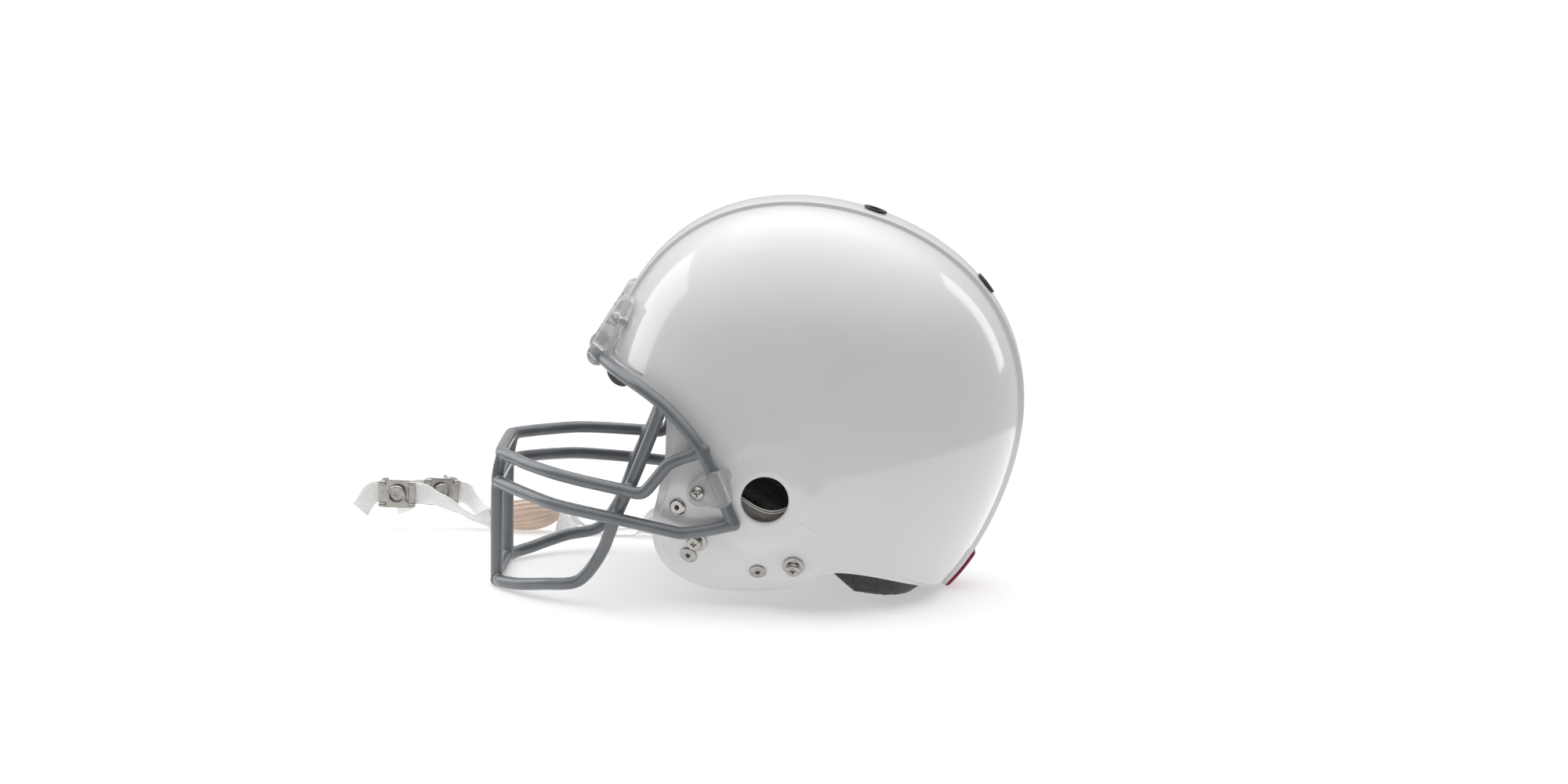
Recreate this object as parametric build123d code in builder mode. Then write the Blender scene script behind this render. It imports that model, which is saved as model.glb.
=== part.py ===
from build123d import *
import os
from math import atan2, cos, hypot, radians, sin, tan

os.makedirs("parts", exist_ok=True)

# An adult football helmet. The origin is the middle of the line through the two ear holes.
# +X points to the back of the head, -Y to the wearer's left and +Z up. Sizes are in mm.

# ---- Driving dimensions ----
PROFILE_RADII = (163, 188, 191, 184, 163, 132, 121, 116, 104, 90, 117, 144)  # every 30 deg from +X
HALF_WIDTH = 115.0  # ear axis to the flat of the shell's side
FULLNESS = 2.35  # exponent of the shell's cross section: 2 is an ellipse
SHELL_WALL = 4.0
RIDGE_HALF_WIDTH = 18.0
RIDGE_HEIGHT = 3.0
FLOOR_Z = -81.0
EAR_HOLE_R = 16.75
VENT_ANGLES = (69, 42)  # crown and rear vent holes, degrees up from +X
VENT_R = 6.5
PAD_GAP = 5.0  # between the shell and its pads
PAD_DEPTH = 19.0
BAR_R = 4.3
CLIP_GAP = 0.4  # between a clip and the shell
WIRE_GAP = 0.15  # between a clip and the wire in it
STUD_R = 5.0
STUD_LENGTH = 3.5
STUD_WASHER_R = 7.3
HOLE_R = 3.0  # every screw, stud and rivet hole in the shell
WEBBING = 1.8  # strap thickness
STRAP_WIDTH = 16.0
BUCKLE_SIZE = (27.0, 20.6)

# Places of the hardware on the shell's side, as (x, z)
SIDE_CLIP_SCREW = (-43.0, 4.0)
TOP_CLIP_SCREW = (-103.0, 109.0)
JAW_RIVETS = ((-58.0, -8.0), (-50.6, -41.4), (-4.4, -51.5))
STRAP_STUDS = ((-45.3, -30.4), (19.6, -46.0))
TOP_CLIP_Y = 36.0


# ---- The skull form that the shell and its pads share ----
def profile_radius(angle):
    """Radius of the middle profile about the ear axis, at an angle in radians from +X."""
    total = 0.0
    for step, radius in enumerate(PROFILE_RADII):
        gap = angle - radians(30 * step)
        if abs(sin(gap / 2)) < 1e-6:
            return float(radius)
        total += radius * sin(6 * gap) / (12 * tan(gap / 2))
    return total


def profile_points(inset, reach, rise=0.0):
    """Points of the profile, inset by the wall and scaled towards the ear axis."""
    points = []
    for step in range(36):
        angle = radians(10 * step)
        radius = (profile_radius(angle) - inset + rise) * reach
        points.append((radius * cos(angle), radius * sin(angle)))
    return points


def skull_form(inset):
    """The whole skull form, smaller all round by the inset."""
    with BuildPart() as form:
        for step in range(-7, 8):
            turn = radians(step * 87 / 7)
            reach = cos(turn) ** (2 / FULLNESS)
            side = abs(sin(turn)) ** (2 / FULLNESS) * (HALF_WIDTH - inset)
            if step < 0:
                side = -side
            with BuildSketch(Plane.XZ.offset(side)):
                with BuildLine():
                    Spline(*profile_points(inset, reach), periodic=True)
                make_face()
        loft()
    return form.part


def middle_prism(rise):
    """The middle profile, raised by a height, as wide as the ridge."""
    with BuildPart() as prism:
        with BuildSketch(Plane.XZ):
            with BuildLine():
                Spline(*profile_points(0, 1, rise), periodic=True)
            make_face()
        extrude(amount=RIDGE_HALF_WIDTH, both=True)
    return prism.part


def side_depth(x, z):
    """How far the outside of the shell stands from the middle plane at (x, z)."""
    reach = hypot(x, z) / profile_radius(atan2(z, x))
    return HALF_WIDTH * (1 - reach**FULLNESS) ** (1 / FULLNESS)


def side_plane(x, z, height=0.0):
    """Plane tangent to the left side of the shell at (x, z), facing out."""
    step = 0.5
    slope_x = (side_depth(x + step, z) - side_depth(x - step, z)) / (2 * step)
    slope_z = (side_depth(x, z + step) - side_depth(x, z - step)) / (2 * step)
    outward = Vector(-slope_x, -1, -slope_z).normalized()
    spot = Vector(x, -side_depth(x, z), z) + outward * height
    return Plane(origin=spot, x_dir=Vector(0, 0, 1).cross(outward), z_dir=outward)


def ridge_plane(angle_degrees, height):
    """Plane tangent to the middle profile, lifted off it by a height."""
    angle = radians(angle_degrees)
    ahead = profile_radius(angle + 0.01)
    behind = profile_radius(angle - 0.01)
    tilt = angle - atan2(ahead - behind, 0.02 * profile_radius(angle))
    outward = Vector(cos(tilt), 0, sin(tilt))
    radius = profile_radius(angle)
    spot = Vector(radius * cos(angle), 0, radius * sin(angle)) + outward * height
    return Plane(origin=spot, x_dir=(0, 1, 0), z_dir=outward)


def save(part, name):
    """Name a part and write it."""
    part.label = name
    export_step(part, f"parts/{name}.step")


def save_pair(left_part, name):
    """Write a left part and its mirror image on the right."""
    save(left_part, f"left_{name}")
    save(mirror(left_part, about=Plane.XZ), f"right_{name}")


def both_sides(plane):
    """A plane on the left of the helmet and its mirror image on the right."""
    origin = plane.origin
    normal = plane.z_dir
    across = plane.x_dir
    other = Plane(
        origin=(origin.X, -origin.Y, origin.Z),
        x_dir=(across.X, -across.Y, across.Z),
        z_dir=(normal.X, -normal.Y, normal.Z),
    )
    return [plane, other]


skull_outside = skull_form(0)
skull_inside = skull_form(SHELL_WALL)
pad_outside = skull_form(SHELL_WALL + PAD_GAP)
pad_inside = skull_form(SHELL_WALL + PAD_GAP + PAD_DEPTH)
clip_seat = skull_form(-CLIP_GAP)

# The top screws stand where the skull form is TOP_CLIP_Y from the middle plane
top_angle = atan2(TOP_CLIP_SCREW[1], TOP_CLIP_SCREW[0])
top_reach = (1 - (TOP_CLIP_Y / HALF_WIDTH) ** FULLNESS) ** (1 / FULLNESS)
top_radius = profile_radius(top_angle) * top_reach
top_screw_plane = side_plane(top_radius * cos(top_angle), top_radius * sin(top_angle))
side_screw_plane = side_plane(*SIDE_CLIP_SCREW)
rivet_planes = [side_plane(x, z) for x, z in JAW_RIVETS]
stud_planes = [side_plane(x, z) for x, z in STRAP_STUDS]

# ---- Shell ----
with BuildPart() as shell:
    add(skull_outside)
    add(middle_prism(RIDGE_HEIGHT))
    add(skull_inside, mode=Mode.SUBTRACT)
    # Face opening, jaw flaps and lower edge, seen from the side
    with BuildSketch(Plane.XZ):
        with BuildLine():
            Line((-200, 114.6), (-76, 62))
            ThreePointArc((-76, 62), (-70, 57.5), (-68, 50))
            Spline(
                (-68, 50), (-69, 18), (-77.5, -24), (-62, -60), (-10, -73), (25, -63.5),
                (47, -52.5), (85, -60.5), (128, FLOOR_Z), tangents=((0, -1), (1, -0.5)),
            )
            Polyline((128, FLOOR_Z), (250, FLOOR_Z), (250, 250), (-200, 250), (-200, 114.6))
        make_face()
    extrude(amount=150, both=True, mode=Mode.INTERSECT)
    with BuildSketch(Plane.XZ):
        Circle(EAR_HOLE_R)
    extrude(amount=150, both=True, mode=Mode.SUBTRACT)
    for angle in VENT_ANGLES:
        with BuildSketch(ridge_plane(angle, 10)):
            Circle(VENT_R)
        extrude(amount=-30, mode=Mode.SUBTRACT)
    for left_plane in [top_screw_plane, side_screw_plane, *rivet_planes, *stud_planes]:
        for plane in both_sides(left_plane):
            with BuildSketch(plane.offset(12)):
                Circle(HOLE_R)
            extrude(amount=-24, mode=Mode.SUBTRACT)
save(shell.part, "shell")

# ---- Shell trim ----
grommets = {}
for name, angle in zip(("crown", "rear"), VENT_ANGLES):
    with BuildPart() as grommet:
        with BuildSketch(ridge_plane(angle, RIDGE_HEIGHT + 0.2)):
            Circle(VENT_R + 1.6)
            Circle(VENT_R - 1.8, mode=Mode.SUBTRACT)
        extrude(amount=1.2)
        with BuildSketch(ridge_plane(angle, RIDGE_HEIGHT + 0.3)):
            Circle(VENT_R - 0.2)
            Circle(VENT_R - 1.8, mode=Mode.SUBTRACT)
        extrude(amount=-8)
    save(grommet.part, f"{name}_vent_grommet")

with BuildPart() as rear_bumper:
    with BuildSketch(Plane.YZ.offset(90)):
        with Locations((0, -67)):
            RectangleRounded(2 * RIDGE_HALF_WIDTH - 2, 24, 3)
    extrude(amount=90)
    add(middle_prism(RIDGE_HEIGHT + 1.8), mode=Mode.INTERSECT)
    add(middle_prism(RIDGE_HEIGHT + 0.2), mode=Mode.SUBTRACT)
save(rear_bumper.part, "rear_bumper")

with BuildPart() as nose_bumper:
    with BuildSketch(Plane.XZ):
        with BuildLine():
            Spline((-112, 71.5), (-111, 63), (-103, 57), (-95, 60.5))
            Line((-95, 60.5), (-112, 71.5))
        make_face()
    extrude(amount=21, both=True)
    fillet(nose_bumper.edges().filter_by(Axis.Y).sort_by(Axis.Z)[0:1], 0.5)
save(nose_bumper.part, "nose_bumper")

# ---- Liner ----
pad_layer = pad_outside - pad_inside


def liner_pad(first_angle, last_angle, half_width):
    """A pad across the middle, between two angles about the ear axis."""
    with BuildPart() as pad:
        add(pad_layer)
        with BuildSketch(Plane.XZ):
            with BuildLine():
                first = (300 * cos(radians(first_angle)), 300 * sin(radians(first_angle)))
                last = (300 * cos(radians(last_angle)), 300 * sin(radians(last_angle)))
                Polyline((0, 0), first, last, close=True)
            make_face()
        extrude(amount=half_width, both=True, mode=Mode.INTERSECT)
    return pad.part


save(liner_pad(104, 142, 62), "front_pad")
save(liner_pad(54, 101, 62), "crown_pad")
save(liner_pad(2, 51, 62), "rear_pad")

with BuildPart() as side_pad:
    add(pad_layer)
    with BuildSketch(Plane.XZ.offset(66)):
        Polygon((-66, 34), (-66, 100), (-20, 160), (70, 160), (120, 100), (112, 34), align=None)
    extrude(amount=60, mode=Mode.INTERSECT)
save_pair(side_pad.part, "side_pad")

with BuildPart() as jaw_pad:
    add(pad_layer)
    with BuildSketch(Plane.XZ.offset(62)):
        with BuildLine():
            Spline(
                (-60, 26), (-62, -12), (-64, -38), (-44, -58), (-8, -62), (22, -52), (30, -34),
                tangents=((0, -1), (0.2, 1)),
            )
            Polyline((30, -34), (30, 26), (-60, 26))
        make_face()
        Circle(26, mode=Mode.SUBTRACT)
        with Locations((20, 0)):
            Rectangle(40, 60, mode=Mode.SUBTRACT)
    extrude(amount=60, mode=Mode.INTERSECT)
save_pair(jaw_pad.part, "jaw_pad")

with BuildPart() as neck_band:
    add(pad_layer)
    with BuildSketch(Plane.XZ):
        Polygon((44, -52), (60, -22), (200, -22), (200, FLOOR_Z), (96, FLOOR_Z), (60, -70), align=None)
    extrude(amount=150, both=True, mode=Mode.INTERSECT)
save(neck_band.part, "neck_band")

# Hook-and-loop discs that hold the pads to the shell
with BuildPart() as liner_tabs:
    for angle in (18, 38, 62, 90, 116):
        with BuildSketch(ridge_plane(angle, -SHELL_WALL - 0.3)):
            with GridLocations(60, 0, 2, 1):
                Circle(11)
        extrude(amount=-PAD_GAP - 6)
    add(skull_form(SHELL_WALL + 0.3), mode=Mode.INTERSECT)
    add(skull_form(SHELL_WALL + PAD_GAP - 0.3), mode=Mode.SUBTRACT)
save(liner_tabs.part, "liner_tabs")


# ---- Face mask: coated wires, welded where they cross ----
def wire(points, radii, bar_radius=BAR_R):
    """A round bar along straight runs joined by arcs."""
    with BuildPart() as bar:
        with BuildLine() as path:
            FilletPolyline(*points, radius=radii)
        with BuildSketch(Plane(origin=path.line @ 0, z_dir=path.line % 0)):
            Circle(bar_radius)
        sweep()
    return bar.part


def round_the_face(right_points, radii, bar_radius=BAR_R):
    """A bar that runs round the front from the right side to its mirror image on the left."""
    left_points = [(x, -y, z) for x, y, z in reversed(right_points)]
    return wire([*right_points, *left_points], [*radii, *reversed(radii)], bar_radius)


JAW_CORNER = (-20, 119.6, -16)
SIDE_CORNER = (-41, 116.8, 34)
BROW_SIDE = [(-67, 104.5, 59), (-88.5, 88, 72), (-107.5, 60.5, 79), (-121, 22, 85)]
BROW_COURSE = ([JAW_CORNER, SIDE_CORNER, *BROW_SIDE], [9, 40, 60, 60, 22])
brow_wire = round_the_face(*BROW_COURSE)
brow_space = round_the_face(*BROW_COURSE, BAR_R + WIRE_GAP)
upper_bar = round_the_face(
    [SIDE_CORNER, (-63, 113, 25), (-84, 109, -3), (-143, 86, 8), (-184, 38, 12)], [10, 14, 90, 40]
)
lower_bar = round_the_face([JAW_CORNER, (-57, 113, -25.5), (-143, 88, -12), (-184, 42, -8)], [40, 90, 40])
CHIN_Z = FLOOR_Z + BAR_R
chin_loop = round_the_face(
    [(-70, 101.5, 59), (-97, 97.5, -14), (-122, 84, -66), (-152, 76, -70), (-186, 42, CHIN_Z)],
    [60, 18, 40, 22],
)
front_post = wire([(-183.5, -36, 12), (-185, -37, -9), (-186, -36, CHIN_Z)], [60])
save(brow_wire, "brow_wire")
save(upper_bar, "upper_bar")
save(lower_bar, "lower_bar")
save(chin_loop, "chin_loop")
save_pair(front_post, "front_post")

# ---- Clips that hold the mask to the shell ----
TOP_GRIP = 6.0  # clip thickness under a screw head
SIDE_GRIP = 5.0


def screw_seat(plane, grip):
    """The space of a screw: its hole through a clip and the counterbore for its head."""
    with BuildPart() as seat:
        with BuildSketch(plane.offset(-10)):
            Circle(HOLE_R)
        extrude(amount=40)
        with BuildSketch(plane.offset(grip)):
            Circle(5.4)
        extrude(amount=30)
    return seat.part


with BuildPart() as top_clip:
    with BuildSketch(Plane.XZ.offset(TOP_CLIP_Y - 11)):
        with Locations((-98.5, 116.5)):
            Circle(5.5)
        with Locations((-117, 83)):
            Circle(BAR_R + 3)
        make_hull()
    extrude(amount=22)
    add(clip_seat, mode=Mode.SUBTRACT)
    add(brow_space, mode=Mode.SUBTRACT)
    add(screw_seat(top_screw_plane, TOP_GRIP), mode=Mode.SUBTRACT)
save_pair(top_clip.part, "top_clip")

with BuildPart() as side_clip:
    with BuildSketch(Plane.XZ.offset(90)):
        with Locations(SIDE_CLIP_SCREW):
            Circle(9)
        with Locations((-30, 14), (-26, 2)):
            Circle(8.5)
        make_hull()
    extrude(amount=HALF_WIDTH + 1.5 - 90)
    with BuildSketch(Plane.XZ.offset(90)):
        with Locations((-32, 14), (-28, 3)):
            Circle(6.5)
        make_hull()
    extrude(amount=HALF_WIDTH + 12 - 90)
    add(clip_seat, mode=Mode.SUBTRACT)
    add(brow_space, mode=Mode.SUBTRACT)
    add(screw_seat(side_screw_plane, SIDE_GRIP), mode=Mode.SUBTRACT)
save_pair(side_clip.part, "side_clip")


# ---- Screws, nuts, studs and rivets, each made facing +Z and placed by its plane ----
SCREW_R = 2.4
SHANK_R = 2.6  # studs and rivets
WALL_Z = -SHELL_WALL - 0.4  # where the washers inside the shell start
TAIL_Z = WALL_Z - 1.6


def cross_slot(top, depth, size=4.4, width=1.1):
    """The space of a cross slot, sunk from a height."""
    with BuildPart() as slot:
        with BuildSketch(Plane.XY.offset(top)):
            Rectangle(size, width)
            Rectangle(width, size)
        extrude(amount=-depth)
    return slot.part


def round_item(outline):
    """Turn an outline of (radius, height) points about Z."""
    with BuildPart() as item:
        with BuildSketch(Plane.XZ):
            Polygon(*outline, align=None)
        revolve(axis=Axis.Z)
    return item.part


def clip_screw(grip):
    """A pan-head screw whose head stands a grip above the shell."""
    grip += 0.2
    with BuildPart() as screw:
        add(round_item([(0, grip), (4.6, grip), (4.2, grip + 1.7), (2.6, grip + 2.7), (0, grip + 2.9)]))
        add(round_item([(0, -8), (SCREW_R, -8), (SCREW_R, grip + 1), (0, grip + 1)]))
        add(cross_slot(grip + 3, 1.8), mode=Mode.SUBTRACT)
    return screw.part


def placed(item, planes):
    """Copies of an item, one on each plane."""
    with BuildPart() as group:
        with Locations(*[plane.location for plane in planes]):
            add(item)
    return group.part


with BuildPart() as clip_nut:
    add(round_item([
        (SCREW_R + 0.1, WALL_Z), (7, WALL_Z), (7, TAIL_Z), (4, TAIL_Z),
        (4, TAIL_Z - 2.4), (SCREW_R + 0.1, TAIL_Z - 2.4),
    ]))

with BuildPart() as strap_stud:
    add(round_item([
        (0, 0.4), (STUD_WASHER_R, 0.4), (STUD_WASHER_R, 1.4), (STUD_R, 1.9),
        (STUD_R, 1.9 + STUD_LENGTH), (STUD_R - 0.8, 2.7 + STUD_LENGTH), (0, 2.7 + STUD_LENGTH),
    ]))
    add(round_item([(0, TAIL_Z), (SHANK_R, TAIL_Z), (SHANK_R, 1), (0, 1)]))
    add(round_item([(0, WALL_Z), (6, WALL_Z), (6, TAIL_Z), (0, TAIL_Z)]))
    add(cross_slot(2.8 + STUD_LENGTH, 1.7), mode=Mode.SUBTRACT)

with BuildPart() as jaw_rivet:
    add(round_item([(0, 0.3), (5.8, 0.3), (5.8, 1.1), (4.6, 1.7), (1.6, 1.7), (1.6, 0.9), (0, 0.9)]))
    add(round_item([(0, TAIL_Z), (SHANK_R, TAIL_Z), (SHANK_R, 0.6), (0, 0.6)]))
    add(round_item([(0, WALL_Z), (5.5, WALL_Z), (5.5, TAIL_Z), (0, TAIL_Z)]))

top_screw = placed(clip_screw(TOP_GRIP), [top_screw_plane])
side_screw = placed(clip_screw(SIDE_GRIP), [side_screw_plane])
save_pair(top_screw + side_screw, "clip_screws")
save_pair(placed(clip_nut.part, [top_screw_plane, side_screw_plane]), "clip_nuts")
save_pair(placed(strap_stud.part, stud_planes), "strap_studs")
save_pair(placed(jaw_rivet.part, rivet_planes), "jaw_rivets")


# ---- Chin strap: webbing that lies on its edge on the floor, beside and in front of the mask ----
def strap(points, faces=None):
    """Webbing through points. It stands upright unless a point's face direction is given."""
    faces = faces or {}
    spots = [Vector(*point) for point in points]
    with BuildPart() as webbing:
        for index, spot in enumerate(spots):
            ahead = spots[min(index + 1, len(spots) - 1)]
            behind = spots[max(index - 1, 0)]
            along = (ahead - behind).normalized()
            face = faces.get(index, along.cross(Vector(0, 0, 1)))
            face = (face - along * face.dot(along)).normalized()
            with BuildSketch(Plane(origin=spot, x_dir=face, z_dir=along)):
                Rectangle(WEBBING, STRAP_WIDTH)
        loft(ruled=True)
    return webbing.part


# A buckle is drawn with the webbing along its X, the snap socket facing its -Z and the
# webbing and the lever on its +Z side
PLATE = 1.2
WEBBING_Z = PLATE + 0.8 + WEBBING / 2
PIN_R = 1.0
PIN_X = 9.5
PIN_Z = WEBBING_Z + WEBBING / 2 + 3.0
LEVER_WIDTH = 15.0
CHEEK_Y = 9.6

with BuildPart() as buckle_plate:
    with BuildSketch():
        RectangleRounded(*BUCKLE_SIZE, 3)
        with Locations((-7.5, 0)):
            SlotCenterToCenter(9, 2.2, rotation=90, mode=Mode.SUBTRACT)
    extrude(amount=PLATE)
    # Curled ears at the four corners
    with BuildSketch(Plane.YZ.offset(-13.5)):
        with Locations((8.2, -0.9), (-8.2, -0.9)):
            Circle(1.5)
    extrude(amount=5)
    with BuildSketch(Plane.YZ.offset(8.5)):
        with Locations((8.2, -0.9), (-8.2, -0.9)):
            Circle(1.5)
    extrude(amount=5)
    # Cheeks that carry the lever's pin
    with BuildSketch(Plane.XZ):
        with Locations((PIN_X, PIN_Z / 2)):
            Rectangle(5, PIN_Z)
        with Locations((PIN_X, PIN_Z)):
            Circle(2.5)
            Circle(PIN_R, mode=Mode.SUBTRACT)
    extrude(amount=CHEEK_Y + 0.5, both=True)
    with BuildSketch(Plane.XZ):
        with Locations((PIN_X, PIN_Z)):
            Rectangle(8, 2 * (PIN_Z - PLATE))
    extrude(amount=CHEEK_Y - 0.6, both=True, mode=Mode.SUBTRACT)

with BuildPart() as snap_socket:
    add(round_item([(5.3, 0), (7, 0), (7, -3.2), (6.4, -4), (5.3, -4)]))
    with BuildSketch(Plane.XY.offset(-0.6)):
        Circle(6)
        Circle(1.6, mode=Mode.SUBTRACT)
    extrude(amount=0.6)

with BuildPart() as lever_pin:
    with BuildSketch(Plane.XZ):
        with Locations((PIN_X, PIN_Z)):
            Circle(PIN_R)
    extrude(amount=CHEEK_Y + 0.5, both=True)

with BuildPart() as cam_lever:
    with BuildSketch(Plane.XZ):
        with Locations((PIN_X, PIN_Z)):
            Circle(2.1)
        with Locations((PIN_X - 11, PIN_Z + 1.2)):
            Rectangle(22, 1.4)
        with Locations((PIN_X - 22.3, PIN_Z + 1.5)):
            Circle(1.1)
    extrude(amount=LEVER_WIDTH / 2, both=True)
    with BuildSketch(Plane.XZ):
        with Locations((PIN_X, PIN_Z)):
            Circle(PIN_R + 0.05)
    extrude(amount=LEVER_WIDTH, both=True, mode=Mode.SUBTRACT)
    # Teeth along both long edges of the lever
    with BuildSketch(Plane.XY.offset(PIN_Z)):
        with Locations((PIN_X - 12, 0)):
            with GridLocations(2.2, LEVER_WIDTH, 7, 2):
                Circle(0.7)
    extrude(amount=5, mode=Mode.SUBTRACT)

pin_axis = Axis((PIN_X, 0, PIN_Z), (0, 1, 0))


def on_plane(plane, item):
    """A finished item moved to a plane."""
    return plane.location * item


def save_buckle(name, plane, opening):
    """Write a buckle's four pieces on a plane, with its lever opened by an angle."""
    save(on_plane(plane, buckle_plate.part), f"{name}_buckle")
    save(on_plane(plane, snap_socket.part), f"{name}_snap_socket")
    save(on_plane(plane, lever_pin.part), f"{name}_lever_pin")
    save(on_plane(plane, cam_lever.part.rotate(pin_axis, opening)), f"{name}_cam_lever")


def course_point(plane, along):
    """A point of the webbing's course through a buckle."""
    return tuple(plane.from_local_coords(Vector(along, 0, WEBBING_Z)))


rear_stud = both_sides(stud_planes[1])[1]
pull = Vector(0.8, 0, 0.6)
snap_plane = Plane(
    origin=rear_stud.origin + rear_stud.z_dir * (3.4 + STUD_LENGTH),
    x_dir=pull - rear_stud.z_dir * pull.dot(rear_stud.z_dir),
    z_dir=rear_stud.z_dir,
)
buckle_planes = {
    "left_upper": Plane(origin=(-278, 138, -56), x_dir=(-1, 0.04, 0), z_dir=(0.04, 1, 0)),
    "left_lower": Plane(origin=(-249, 167, -60), x_dir=(0.94, 0.34, -0.1), z_dir=(-0.34, 0.94, 0)),
    "right_upper": Plane(origin=(-62, 150, -70), x_dir=(1, 0.05, 0), z_dir=(-0.05, 1, 0)),
    "right_lower": snap_plane,
}
LYING_Z = FLOOR_Z + STRAP_WIDTH / 2 + 0.2
front = buckle_planes["left_upper"]
second = buckle_planes["left_lower"]
side = buckle_planes["right_upper"]
straps = {
    "left_upper": strap(
        [(-208.5, 137, LYING_Z), (-219, 141, -72), (-240, 144, -66), course_point(front, -20),
         course_point(front, 0), course_point(front, 18), (-305, 136, -68)]
    ),
    "left_lower": strap(
        [(-208.5, 139.6, LYING_Z), (-216, 155, -72), (-225, 171, -67), course_point(second, 18),
         course_point(second, 0), course_point(second, -18), (-274, 171, -67), (-284, 177, -72)]
    ),
    "right_upper": strap(
        [(-159.5, 139.4, LYING_Z), (-125, 149, LYING_Z), (-102, 151, -71), course_point(side, -20),
         course_point(side, 0), course_point(side, 20), (-24, 157, LYING_Z)]
    ),
    "right_lower": strap(
        [(-159.5, 136, LYING_Z), (-115, 130, LYING_Z), (-75, 128, LYING_Z), (-42, 126, -72.4),
         *[course_point(snap_plane, along) for along in (-32, -18, -5, 8, 22)]],
        faces={step: -snap_plane.z_dir for step in range(4, 9)},
    ),
}
for name, webbing in straps.items():
    save(webbing, f"{name}_strap")
save_buckle("left_upper", front, 0)
save_buckle("left_lower", second, 85)
save_buckle("right_upper", side, 0)
save_buckle("right_lower", snap_plane, 0)

# ---- Chin cup: a soft bowl that lies tipped on the floor ----
CUP_LENGTH = 52.0
CUP_HEIGHT = 26.0
CUP_WALL = 2.5
cup_plane = Plane(origin=(-184, 138, FLOOR_Z + CUP_HEIGHT / 2 + 0.3), x_dir=(1, 0, 0), z_dir=(0, 0.87, 0.5))


def bowl(first_inset, last_inset):
    """Half of a hollow egg, open towards +Z, between two insets from the outside."""
    with BuildPart() as half:
        with BuildSketch():
            Ellipse(CUP_LENGTH / 2 - first_inset, CUP_HEIGHT / 2 - first_inset)
            Ellipse(CUP_LENGTH / 2 - last_inset, CUP_HEIGHT / 2 - last_inset, mode=Mode.SUBTRACT)
            with Locations((0, -CUP_HEIGHT)):
                Rectangle(2 * CUP_LENGTH, 2 * CUP_HEIGHT, mode=Mode.SUBTRACT)
        revolve(axis=Axis.X, revolution_arc=-180)
    return half.part


save(on_plane(cup_plane, bowl(0, CUP_WALL)), "chin_cup")
save(on_plane(cup_plane, bowl(CUP_WALL + 0.3, CUP_WALL + 3.3)), "chin_cup_pad")
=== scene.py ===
from math import atan2, cos, pi, radians, sin

import bmesh
import bpy
import numpy as np
from mathutils import Matrix, Vector
from mathutils.kdtree import KDTree


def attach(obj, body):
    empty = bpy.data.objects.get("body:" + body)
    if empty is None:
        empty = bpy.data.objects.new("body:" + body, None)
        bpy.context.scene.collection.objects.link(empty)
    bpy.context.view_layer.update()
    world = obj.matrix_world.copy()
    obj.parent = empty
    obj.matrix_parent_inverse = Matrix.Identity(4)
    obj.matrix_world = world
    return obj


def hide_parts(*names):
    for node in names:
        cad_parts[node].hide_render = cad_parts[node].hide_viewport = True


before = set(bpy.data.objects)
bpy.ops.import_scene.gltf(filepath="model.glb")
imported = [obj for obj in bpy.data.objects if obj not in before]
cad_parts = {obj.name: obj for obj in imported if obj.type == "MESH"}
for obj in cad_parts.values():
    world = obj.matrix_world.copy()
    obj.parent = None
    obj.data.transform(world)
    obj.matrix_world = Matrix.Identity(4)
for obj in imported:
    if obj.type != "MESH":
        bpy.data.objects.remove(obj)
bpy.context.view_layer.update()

MM = 0.001
HELMET = "helmet"

# ---- The skull form of the part, in millimetres about the ear axis ----
PROFILE_RADII = (163, 188, 191, 184, 163, 132, 121, 116, 104, 90, 117, 144)
HALF_WIDTH = 115.0
FULLNESS = 2.35
SHELL_WALL = 4.0
PAD_INSET = 9.3
PAD_DEPTH = 18.5
RIDGE_HALF_WIDTH = 18.0
RIDGE_HEIGHT = 3.0
RIDGE_CROWDING = 7.0  # how much closer the shell's points are at the ridge's edges
VENT_ANGLES = (69, 42)  # degrees up from +X
VENT_R = 6.5
EAR_HOLE_R = 16.75
FLOOR_Z = -81.0
BAR_R = 4.3


def profile_radius(angle):
    """Radius of the middle profile at angles in radians from +X."""
    angle = np.asarray(angle, float)
    total = np.zeros_like(angle)
    for step, radius in enumerate(PROFILE_RADII):
        gap = angle - radians(30 * step)
        gap = np.where(np.abs(np.sin(gap / 2)) < 1e-7, 1e-6, gap)
        total = total + radius * np.sin(6 * gap) / (12 * np.tan(gap / 2))
    return total


def side_depth(x, z, inset=0.0):
    """Distance from the middle plane to the form's surface at (x, z), 0 beyond its profile."""
    reach = np.hypot(x, z) / (profile_radius(np.arctan2(z, x)) - inset)
    return (HALF_WIDTH - inset) * np.clip(1 - reach**FULLNESS, 0, 1) ** (1 / FULLNESS)


def form_normal(points):
    """Outward unit normals of the skull form at points near it."""
    def level(p):
        reach = np.hypot(p[..., 0], p[..., 2]) / profile_radius(np.arctan2(p[..., 2], p[..., 0]))
        return reach**FULLNESS + np.abs(p[..., 1] / HALF_WIDTH) ** FULLNESS

    step = 0.05
    normal = np.stack([level(points + step * axis) - level(points - step * axis) for axis in np.eye(3)], -1)
    return normal / np.linalg.norm(normal, axis=-1, keepdims=True)


def smooth_step(value, low, high):
    """0 below low, 1 above high and smooth between."""
    part = np.clip((np.asarray(value, float) - low) / (high - low), 0, 1)
    return part * part * (3 - 2 * part)


# ---- Small mesh helpers ----
def link(obj):
    bpy.context.scene.collection.objects.link(obj)
    return obj


def mesh_object(name, points, faces, material, smooth=True):
    """A mesh object from points in millimetres."""
    mesh = bpy.data.meshes.new(name)
    mesh.from_pydata([tuple(float(c) * MM for c in point) for point in points], [], faces)
    mesh.validate()
    mesh.materials.append(material)
    if smooth:
        mesh.polygons.foreach_set("use_smooth", [True] * len(mesh.polygons))
    return link(bpy.data.objects.new(name, mesh))


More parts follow.
